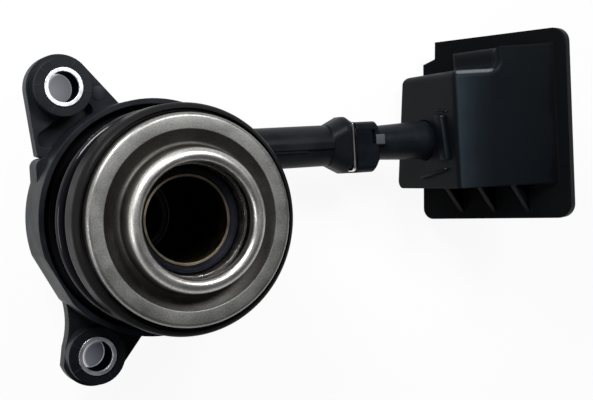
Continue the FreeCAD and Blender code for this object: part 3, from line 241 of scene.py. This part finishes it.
class Nodes:
    """A node tree and short calls to build it."""

    def __init__(self, tree):
        self.tree = tree

    def node(self, kind, **settings):
        item = self.tree.nodes.new(kind)
        for name, value in settings.items():
            setattr(item, name, value)
        return item

    def put(self, value, socket):
        """Give a socket a number, a colour, a vector or another node's output."""
        if isinstance(value, bpy.types.NodeSocket):
            self.tree.links.new(value, socket)
        elif socket.type == "RGBA":
            socket.default_value = (*value, 1)
        else:
            socket.default_value = value

    def math(self, operation, first, second):
        item = self.node("ShaderNodeMath", operation=operation)
        self.put(first, item.inputs[0])
        self.put(second, item.inputs[1])
        return item.outputs["Value"]

    def dot(self, first, second):
        item = self.node("ShaderNodeVectorMath", operation="DOT_PRODUCT")
        self.put(first, item.inputs[0])
        self.put(second, item.inputs[1])
        return item.outputs["Value"]

    def scaled(self, vector, factor):
        item = self.node("ShaderNodeVectorMath", operation="SCALE")
        self.put(vector, item.inputs[0])
        self.put(factor, item.inputs["Scale"])
        return item.outputs["Vector"]

    def spread(self, value, low, high, out_low=0, out_high=1, kind="LINEAR"):
        """Carry a value from one range over to another."""
        item = self.node("ShaderNodeMapRange", interpolation_type=kind)
        self.put(value, item.inputs["Value"])
        self.put(low, item.inputs["From Min"])
        self.put(high, item.inputs["From Max"])
        self.put(out_low, item.inputs["To Min"])
        self.put(out_high, item.inputs["To Max"])
        return item.outputs["Result"]

    def place(self, frame_name="Object"):
        return self.node("ShaderNodeTexCoord").outputs[frame_name]

    def height(self, frame_name="Object"):
        split = self.node("ShaderNodeSeparateXYZ")
        self.put(self.place(frame_name), split.inputs["Vector"])
        return split.outputs["Z"]

    def seen(self):
        """1 for a ray from the camera, from gloss or through glass."""
        path = self.node("ShaderNodeLightPath")
        direct = self.math("MAXIMUM", path.outputs["Is Camera Ray"], path.outputs["Is Glossy Ray"])
        return self.math("MAXIMUM", direct, path.outputs["Is Transmission Ray"])

    def blend(self, share, first, second):
        """Mix of two shaders."""
        item = self.node("ShaderNodeMixShader")
        self.put(share, item.inputs["Fac"])
        self.put(first, item.inputs[1])
        self.put(second, item.inputs[2])
        return item.outputs["Shader"]


class Look(Nodes):
    """A material with a principled shader and short calls to build what feeds it."""

    def __init__(self, name, colour, rough, metal=0.0, **sockets):
        self.material = bpy.data.materials.new(name)
        self.material.use_nodes = True
        super().__init__(self.material.node_tree)
        self.shader = self.tree.nodes["Principled BSDF"]
        self.shader.inputs["Base Color"].default_value = (*colour, 1)
        self.shader.inputs["Roughness"].default_value = rough
        self.shader.inputs["Metallic"].default_value = metal
        for socket, value in sockets.items():
            self.shader.inputs[socket.replace("_", " ")].default_value = value

    def feed(self, socket, source):
        self.put(source, self.shader.inputs[socket])

    def distance(self, centre=(0, 0)):
        """Distance from a line along Z through the given point."""
        flat = self.node("ShaderNodeVectorMath", operation="MULTIPLY_ADD")
        self.put(self.place(), flat.inputs[0])
        self.put((1, 1, 0), flat.inputs[1])
        self.put((-centre[0], -centre[1], 0), flat.inputs[2])
        length = self.node("ShaderNodeVectorMath", operation="LENGTH")
        self.put(flat.outputs["Vector"], length.inputs[0])
        return length.outputs["Value"]

    def along(self, origin, way):
        """Distance from a point in a direction."""
        start = sum(a * b for a, b in zip(origin, way))
        return self.math("SUBTRACT", self.dot(self.place(), way), start)

    def facing(self, way):
        """How far the surface faces a direction, 1 where it does."""
        return self.dot(self.node("ShaderNodeNewGeometry").outputs["Normal"], way)

    def noise(self, scale, detail, rough, vector=None):
        item = self.node("ShaderNodeTexNoise")
        item.inputs["Scale"].default_value = scale
        item.inputs["Detail"].default_value = detail
        item.inputs["Roughness"].default_value = rough
        self.put(vector or self.place(), item.inputs["Vector"])
        return item.outputs["Fac"]

    def ramp(self, value, low, high, stops):
        """Colours along a value. A stop is a value and a colour or a grey level."""
        item = self.node("ShaderNodeValToRGB")
        elements = item.color_ramp.elements
        while len(elements) < len(stops):
            elements.new(0.5)
        for element, (at, colour) in zip(elements, stops):
            element.position = (at - low) / (high - low)
            element.color = (*colour, 1) if isinstance(colour, tuple) else (colour,) * 3 + (1,)
        self.put(self.spread(value, low, high), item.inputs["Fac"])
        return item.outputs["Color"]

    def mix(self, share, first, second):
        """Mix of two colours."""
        item = self.node("ShaderNodeMix", data_type="RGBA")
        self.put(share, item.inputs["Factor"])
        for name, value in (("A", first), ("B", second)):
            self.put(value, next(s for s in item.inputs if s.name == name and s.type == "RGBA"))
        return next(s for s in item.outputs if s.type == "RGBA")

    def bump(self, height, distance, strength, below):
        item = self.node("ShaderNodeBump")
        item.inputs["Distance"].default_value = distance
        item.inputs["Strength"].default_value = strength
        self.put(height, item.inputs["Height"])
        self.put(below, item.inputs["Normal"])
        return item.outputs["Normal"]

    def rounded(self, radius):
        """Normals that soften edges by a radius."""
        item = self.node("ShaderNodeBevel", samples=6)
        item.inputs["Radius"].default_value = radius
        return item.outputs["Normal"]


def nylon(name, colour, rough, edge):
    """Glass-filled plastic: faint mottling, a fine grain and softly rounded edges."""
    look = Look(name, colour, rough, Specular_IOR_Level=0.1)
    grain = look.noise(scale=2600, detail=4, rough=0.7)
    cloud = look.noise(scale=70, detail=5, rough=0.65)
    bright = tuple(part * 1.8 + 0.003 for part in colour)
    look.feed("Base Color", look.mix(look.spread(cloud, 0.35, 0.7), colour, bright))
    look.feed("Roughness", look.spread(cloud, *CLOUD, rough - 0.07, rough + 0.12))
    look.feed("Normal", look.bump(grain, 0.00003, 0.5, look.rounded(edge)))
    return look.material


def rubber(name, colour, rough, edge):
    """Black rubber: dusty patches and a fine matt grain."""
    look = Look(name, colour, rough, Specular_IOR_Level=0.1)
    cloud = look.noise(scale=38, detail=5, rough=0.62)
    grain = look.noise(scale=1800, detail=4, rough=0.7)
    dusty = tuple(part * 2.2 + 0.004 for part in colour)
    look.feed("Base Color", look.mix(look.spread(cloud, 0.4, 0.75, 0, 0.8), colour, dusty))
    look.feed("Roughness", look.spread(cloud, *CLOUD, rough - 0.08, rough + 0.08))
    look.feed("Normal", look.bump(grain, 0.00004, 0.5, look.rounded(edge)))
    return look.material


def grommet_skin():
    """Grommet rubber: deep black plate, painted highlights on the box's front and top edge."""
    look = Look("grommet_rubber", (0.003, 0.004, 0.005), 0.42, Specular_IOR_Level=0.045)
    cloud = look.noise(scale=45, detail=5, rough=0.62)
    grain = look.noise(scale=1800, detail=4, rough=0.7)
    drift = look.spread(cloud, *CLOUD, -0.0015, 0.0015)
    off_plate = look.math("ADD", look.along(PLATE_ORIGIN, PLATE_NORMAL), drift)
    up_plate = look.math("ADD", look.along(PLATE_ORIGIN, PLATE_ALONG), drift)
    on_box = look.spread(off_plate, 0.0005, 0.002)
    # Painted highlights: a band across the box's front face and a line along its top edge.
    on_front = look.math("MULTIPLY", look.spread(look.facing(BOX_FRONT), 0.9, 0.985), on_box)
    on_edge = look.math("MULTIPLY", look.spread(look.facing(TOP_EDGE), 0.92, 0.985),
                        look.spread(off_plate, 0.003, 0.006))
    tone = look.mix(on_box, PLATE_TONE, BOX_TONE)
    tone = look.mix(on_front, tone, look.ramp(up_plate, *FRONT_HIGHLIGHT_SPAN, FRONT_HIGHLIGHT_TONES))
    look.feed("Base Color", look.mix(on_edge, tone, EDGE_HIGHLIGHT_TONE))
    look.feed("Roughness", look.spread(cloud, *CLOUD, 0.34, 0.5))
    look.feed("Normal", look.bump(grain, 0.00004, 0.5, look.rounded(0.0008)))
    return look.material


def painted(name, colour, rough, edge, coat=0.0):
    """Black finish on steel, with a cloudy gloss."""
    look = Look(name, colour, rough, Coat_Weight=coat, Coat_Roughness=0.12,
                Specular_IOR_Level=0.03)
    cloud = look.noise(scale=160, detail=4, rough=0.6)
    look.feed("Roughness", look.spread(cloud, *CLOUD, rough - 0.05, rough + 0.08))
    look.feed("Normal", look.rounded(edge))
    return look.material


def steel(name, colour, rough, edge):
    """Turned steel: rings from the lathe and a cloudy roughness."""
    look = Look(name, colour, rough, 1.0)
    join = look.node("ShaderNodeCombineXYZ")
    look.put(look.distance(), join.inputs["X"])
    look.put(look.height(), join.inputs["Y"])
    rings = look.noise(scale=2400, detail=2, rough=0.6, vector=join.outputs["Vector"])
    cloud = look.noise(scale=120, detail=4, rough=0.6)
    look.feed("Roughness", look.spread(cloud, 0.3, 0.75, rough - 0.05, rough + 0.1))
    look.feed("Normal", look.bump(rings, 0.00001, 0.3, look.rounded(edge)))
    return look.material


def ring_metal():
    """Contact ring: polished lip, painted shade in the dish, matt speckled face and a bright rim.
    """
    look = Look("ring_steel", (0.5, 0.49, 0.47), 0.35, 1.0)
    rise = look.math("SUBTRACT", look.height(), RING_FACE * MM)
    zone = look.math("SUBTRACT", look.distance(), look.math("MULTIPLY", rise, RING_LEAN))
    speckle = look.noise(scale=2200, detail=3, rough=0.7)
    cloud = look.noise(scale=150, detail=4, rough=0.6)
    grain = look.spread(speckle, 0.3, 0.72, 0.72, 1.28)
    soft = look.spread(cloud, *CLOUD, 0.88, 1.12)
    # Painted shade in the dish and, in part, a painted highlight on the lip.
    tone = look.ramp(zone, *RING_ZONES, RING_TONES)
    gloss = look.ramp(zone, *RING_ZONES, RING_ROUGH)
    look.feed("Base Color", look.scaled(tone, look.math("MULTIPLY", grain, soft)))
    look.feed("Roughness", look.math("MULTIPLY", gloss, soft))
    look.feed("Normal", look.bump(speckle, 0.000012, 0.5, look.rounded(0.0002)))
    return look.material


def bush_metal(name):
    """Zinc-plated bush: bright chamfers and end faces, bore darkened blue-grey by painted shade.
    """
    low, high = (corner[2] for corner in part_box(name))
    look = Look(name + "_zinc", (0.7, 0.71, 0.74), 0.28, 1.0, Specular_Tint=BUSH_TINT)
    cloud = look.noise(scale=260, detail=4, rough=0.65)
    # Painted shade darkens the bore below the chamfers.
    tone = look.ramp(look.height(), low, high, (
        (low, (0.75, 0.76, 0.79)), (low + CHAMFER_DEPTH, BUSH_CHAMFER),
        (low + BORE_DEPTH, BUSH_BORE_SHADE), (high - BORE_DEPTH, BUSH_BORE_SHADE),
        (high - CHAMFER_DEPTH, BUSH_CHAMFER), (high, (0.8, 0.81, 0.84))))
    look.feed("Base Color", look.scaled(tone, look.spread(cloud, *CLOUD, 0.75, 1.15)))
    look.feed("Roughness", look.spread(cloud, *CLOUD, 0.34, 0.5))
    look.feed("Normal", look.rounded(0.0002))
    return look.material


def sleeve_metal():
    """Guide sleeve: painted shade darker deeper inside, with a warm bright rim at its open end."""
    look = Look("sleeve_steel", (0.2, 0.17, 0.13), 0.35, 1.0)
    cloud = look.noise(scale=300, detail=4, rough=0.6)
    # Painted shade: the sleeve's colour darkens the deeper inside it.
    tone = look.ramp(look.height(), *SLEEVE_SPAN, SLEEVE_TONES)
    look.feed("Base Color", look.scaled(tone, look.spread(cloud, *CLOUD, 0.8, 1.2)))
    look.feed("Roughness", look.spread(cloud, *CLOUD, 0.3, 0.45))
    look.feed("Normal", look.rounded(0.0001))
    return look.material


def arc(centre, radius, start, end, steps):
    """Points of an arc from one angle to another, in degrees."""
    turns = (math.radians(start + (end - start) * step / steps) for step in range(steps + 1))
    return [(centre[0] + radius * math.cos(turn), centre[1] + radius * math.sin(turn))
            for turn in turns]


def add_mesh(name, mesh, sharp):
    """Object from a bmesh, smooth up to the given angle in degrees."""
    data = bpy.data.meshes.new(name)
    mesh.to_mesh(data)
    mesh.free()
    data.shade_smooth()
    data.set_sharp_from_angle(angle=math.radians(sharp))
    item = bpy.data.objects.new(name, data)
    bpy.context.scene.collection.objects.link(item)
    return item


def turned(name, section, sides):
    """Closed solid of revolution about Z from a half section."""
    mesh = bmesh.new()
    rings = []
    for side in range(sides):
        turn = math.tau * side / sides
        across = Vector((math.cos(turn), math.sin(turn), 0))
        rings.append([mesh.verts.new((across * radius + Vector((0, 0, height))) * MM)
                      for radius, height in section])
    for ring, following in zip(rings, rings[1:] + rings[:1]):
        for index in range(len(section)):
            last = index - 1
            mesh.faces.new((ring[last], ring[index], following[index], following[last]))
    bmesh.ops.recalc_face_normals(mesh, faces=mesh.faces)
    return add_mesh(name, mesh, sharp=35)


def relief(name, corners, face, low, high, edge, material, slot):
    """Raised moulded detail: a polygon in a face's own coordinates with rounded edges."""
    origin, across, up = (Vector(part) for part in face)
    out = across.cross(up)
    mesh = bmesh.new()
    layers = []
    for lift in (low, high):
        spots = [origin + across * a + up * b + out * lift for a, b in corners]
        layers.append([mesh.verts.new(spot * MM) for spot in spots])
    foot, top = layers
    mesh.faces.new(foot[::-1])
    lid = mesh.faces.new(top)
    for index in range(len(corners)):
        mesh.faces.new((foot[index - 1], foot[index], top[index], top[index - 1]))
    bmesh.ops.recalc_face_normals(mesh, faces=mesh.faces)
    upright = [line for line in mesh.edges if (line.verts[0] in foot) != (line.verts[1] in foot)]
    bmesh.ops.bevel(mesh, geom=list(lid.edges) + upright, offset=edge * MM, segments=3,
                    profile=0.5, affect="EDGES")
    item = add_mesh(name, mesh, sharp=50)
    item.data.materials.append(material)
    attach(item, "cylinder")


def disc(centre, radius, sides=32):
    """Corners of a round outline."""
    return arc(centre, radius, 0, 360, sides)[:-1]


def rectangle(low, high):
    """Corners of a rectangle from its low and high corner."""
    return [low, (high[0], low[1]), high, (low[0], high[1])]


def add_grommet_details(material):
    """Ribs beside the tube on the box's low side."""
    for name, corners, height, edge in BOX_RIBS:
        relief(name, corners, BOX_SIDE, RIB_ROOT, height, edge, material, "grommet_rubber")


def add_ear_details(material):
    """Ejector mark and the boss's parting seams on the ears."""
    relief("ejector_mark", disc(EJECTOR_MIDDLE, EJECTOR_R), LEVEL, EAR_TOP - MARK_ROOT,
           EAR_TOP + EJECTOR_RISE, 0.1, material, "glass_filled_nylon")
    for ear, (centre, turns) in enumerate(BOSS_SEAMS):
        for number, turn in enumerate(turns):
            way = Vector((math.cos(math.radians(turn)), math.sin(math.radians(turn))))
            side = Vector((-way.y, way.x)) * SEAM_HALF_WIDTH
            near, far = (Vector(centre) + way * reach for reach in SEAM_REACH)
            corners = [near - side, far - side, far + side, near + side]
            relief("boss_seam_%d_%d" % (ear, number), corners, LEVEL, BOSS_TOP - MARK_ROOT,
                   BOSS_TOP + SEAM_RISE, 0.05, material, "glass_filled_nylon")


def add_pipe_details(material, tab_look):
    """Witness pad on the pipe and the connector's latch tab."""
    relief("pipe_pad", rectangle(*PIPE_PAD), LEVEL, *PIPE_PAD_HEIGHTS, 0.15, material,
           "glass_filled_nylon")
    relief("latch_tab", rectangle(*LATCH_TAB), LEVEL, *LATCH_TAB_HEIGHTS, 0.3, tab_look,
           "glass_filled_nylon")


def add_ring(material):
    """Contact ring with the rolled lip's smooth flank, in the place of the plain one."""
    section = [(RING_OUTSIDE, RING_FOOT)]
    section += arc((RING_OUTSIDE - RING_EDGE, RING_FACE - RING_EDGE), RING_EDGE, 0, 90, 8)
    section += arc((FACE_INSIDE, RING_FACE - FACE_EDGE), FACE_EDGE, 90, 150, 3)
    section += arc(DISH_MIDDLE, DISH_ROUND, 284, 188, 10)
    section += arc((LIP_R, LIP_TOP - LIP_OUTER_ROUND), LIP_OUTER_ROUND, 8, 90, 14)
    section += arc((LIP_R, LIP_TOP - LIP_INNER_ROUND), LIP_INNER_ROUND, 90, 180, 12)[1:]
    section += LIP_BACK
    section += arc(GROOVE_MIDDLE, GROOVE_R, 105, 5, 14)
    section += [GROOVE_SHOULDER, (RING_INSIDE, RING_FOOT)]
    ring = turned("turned_ring", section, RING_SIDES)
    ring.data.materials.append(material)
    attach(ring, "contact_body")
    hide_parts("contact_ring")


def add_spring(material):
    """Copy of the preload spring with its own mesh and material, in the place of the CAD one."""
    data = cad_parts["preload_spring"].data.copy()
    data.materials.clear()
    data.materials.append(material)
    spring = bpy.data.objects.new("coil_spring", data)
    bpy.context.scene.collection.objects.link(spring)
    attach(spring, "cylinder")
    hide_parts("preload_spring")
    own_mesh(spring)


def dress(material, *names):
    """Give CAD nodes a material."""
    for name in names:
        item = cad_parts[name]
        item.data.materials.clear()
        item.data.materials.append(material)


def add_floor(height):
    """Pale ground, near white to camera and gloss, painted shade deep in the part's bores."""
    bpy.ops.mesh.primitive_plane_add(size=FLOOR_SIZE, location=(0, 0, height))
    floor = bpy.context.object
    floor.name = "floor"
    look = Look("floor_white", FLOOR_COLOUR, FLOOR_ROUGH)
    # Painted shade on the floor under the sleeve's bore, in the glow and in the base colour.
    outside = look.spread(look.distance(), *BORE_SHADE_EDGE)
    shade = look.mix(outside, (0, 0, 0), (1, 1, 1))
    for core, ear, bright, dark in EAR_SHADOWS:
        fade = look.spread(look.distance(ear), *SHADOW_EDGE, SHADOW_LEFT, 1, "SMOOTHSTEP")
        shade = look.mix(fade, dark, shade)
        bright_side = (core[0] - CORE_SHIFT[0], core[1] - CORE_SHIFT[1])
        across = look.spread(look.distance(bright_side), *CORE_FADE)
        beyond = look.spread(look.distance(core), *CORE_EDGE, 0, 1, "SMOOTHSTEP")
        shade = look.mix(beyond, look.mix(across, bright, dark), shade)
    glow = look.node("ShaderNodeEmission")
    look.put(shade, glow.inputs["Color"])
    look.feed("Base Color", look.mix(outside, (0, 0, 0), FLOOR_COLOUR))
    share = look.math("MULTIPLY", look.seen(), FLOOR_GLOW)
    shader = look.blend(share, look.shader.outputs["BSDF"], glow.outputs["Emission"])
    look.put(shader, look.tree.nodes["Material Output"].inputs["Surface"])
    floor.data.materials.append(look.material)


def add_world():
    """Dim room, which looks white near the horizon, where the floor ends."""
    world = bpy.data.worlds.new("World")
    bpy.context.scene.world = world
    world.use_nodes = True
    room = Nodes(world.node_tree)
    dim = room.tree.nodes["Background"]
    room.put(ROOM_COLOUR, dim.inputs["Color"])
    room.put(ROOM_LEVEL, dim.inputs["Strength"])
    pale = room.node("ShaderNodeBackground")
    room.put((1, 1, 1), pale.inputs["Color"])
    room.put(HORIZON_LEVEL, pale.inputs["Strength"])
    near = room.spread(room.height("Generated"), *HORIZON_BAND, 1, 0)
    share = room.math("MULTIPLY", room.seen(), near)
    shader = room.blend(share, dim.outputs["Background"], pale.outputs["Background"])
    room.put(shader, room.tree.nodes["World Output"].inputs["Surface"])


add_camera()
add_world()
for lamp in LAMPS:
    add_lamp(*lamp)
add_floor(cad_box[0][2])

black_nylon = nylon("black_nylon", (0.0045, 0.0055, 0.0075), rough=0.42, edge=0.0004)
piston_nylon = nylon("piston_black", (0.003, 0.0035, 0.006), rough=0.34, edge=0.0003)
connector_nylon = nylon("connector_black", (0.0032, 0.0043, 0.006), rough=0.36, edge=0.0003)
seam_nylon = nylon("seam_nylon", (0.009, 0.010, 0.013), rough=0.4, edge=0.0001)
# Lighter grey nylon of the connector's latch tab.
tab_nylon = nylon("tab_nylon", (0.05, 0.055, 0.062), rough=0.34, edge=0.0002)
zinc = steel("zinc", (0.75, 0.76, 0.79), rough=0.3, edge=0.0003)
race_steel = steel("race_steel", (0.3, 0.29, 0.28), rough=0.3, edge=0.0002)
keeper_steel = steel("keeper_steel", (0.45, 0.43, 0.41), rough=0.25, edge=0.0001)
wire_steel = steel("wire_steel", (0.75, 0.74, 0.72), rough=0.2, edge=0.0001)
garter_steel = steel("garter_steel", (0.05, 0.048, 0.045), rough=0.4, edge=0.0001)
cover_black = painted("cover_black", (0.009, 0.0085, 0.0085), rough=0.34, edge=0.0002)
spring_black = painted("spring_black", (0.006, 0.006, 0.008), rough=0.2, edge=0.0001, coat=0.4)
seal_rubber = rubber("seal_rubber", (0.006, 0.006, 0.007), rough=0.5, edge=0.0001)
grommet_rubber = grommet_skin()

dress(black_nylon, "housing")
dress(connector_nylon, "line_connector")
dress(piston_nylon, "piston", "ball_cage")
dress(zinc, "bleed_screw")
for bush in ("upper_bush", "lower_bush"):
    dress(bush_metal(bush), bush)
dress(race_steel, "fixed_race", "bearing_balls")
dress(keeper_steel, "bearing_keeper")
dress(sleeve_metal(), "guide_sleeve")
dress(wire_steel, "coupling_clip", "port_clip")
dress(garter_steel, "garter_spring")
dress(cover_black, "bearing_cover")
dress(seal_rubber, "sleeve_seal", "shaft_seal", "pilot_seal", "piston_seal", "bearing_seal",
      "connector_seal", "bleed_cap")
dress(grommet_rubber, "grommet")

add_ring(ring_metal())
add_spring(spring_black)
add_grommet_details(grommet_rubber)
add_ear_details(seam_nylon)
add_pipe_details(black_nylon, tab_nylon)

bpy.context.scene.view_settings.view_transform = "Standard"
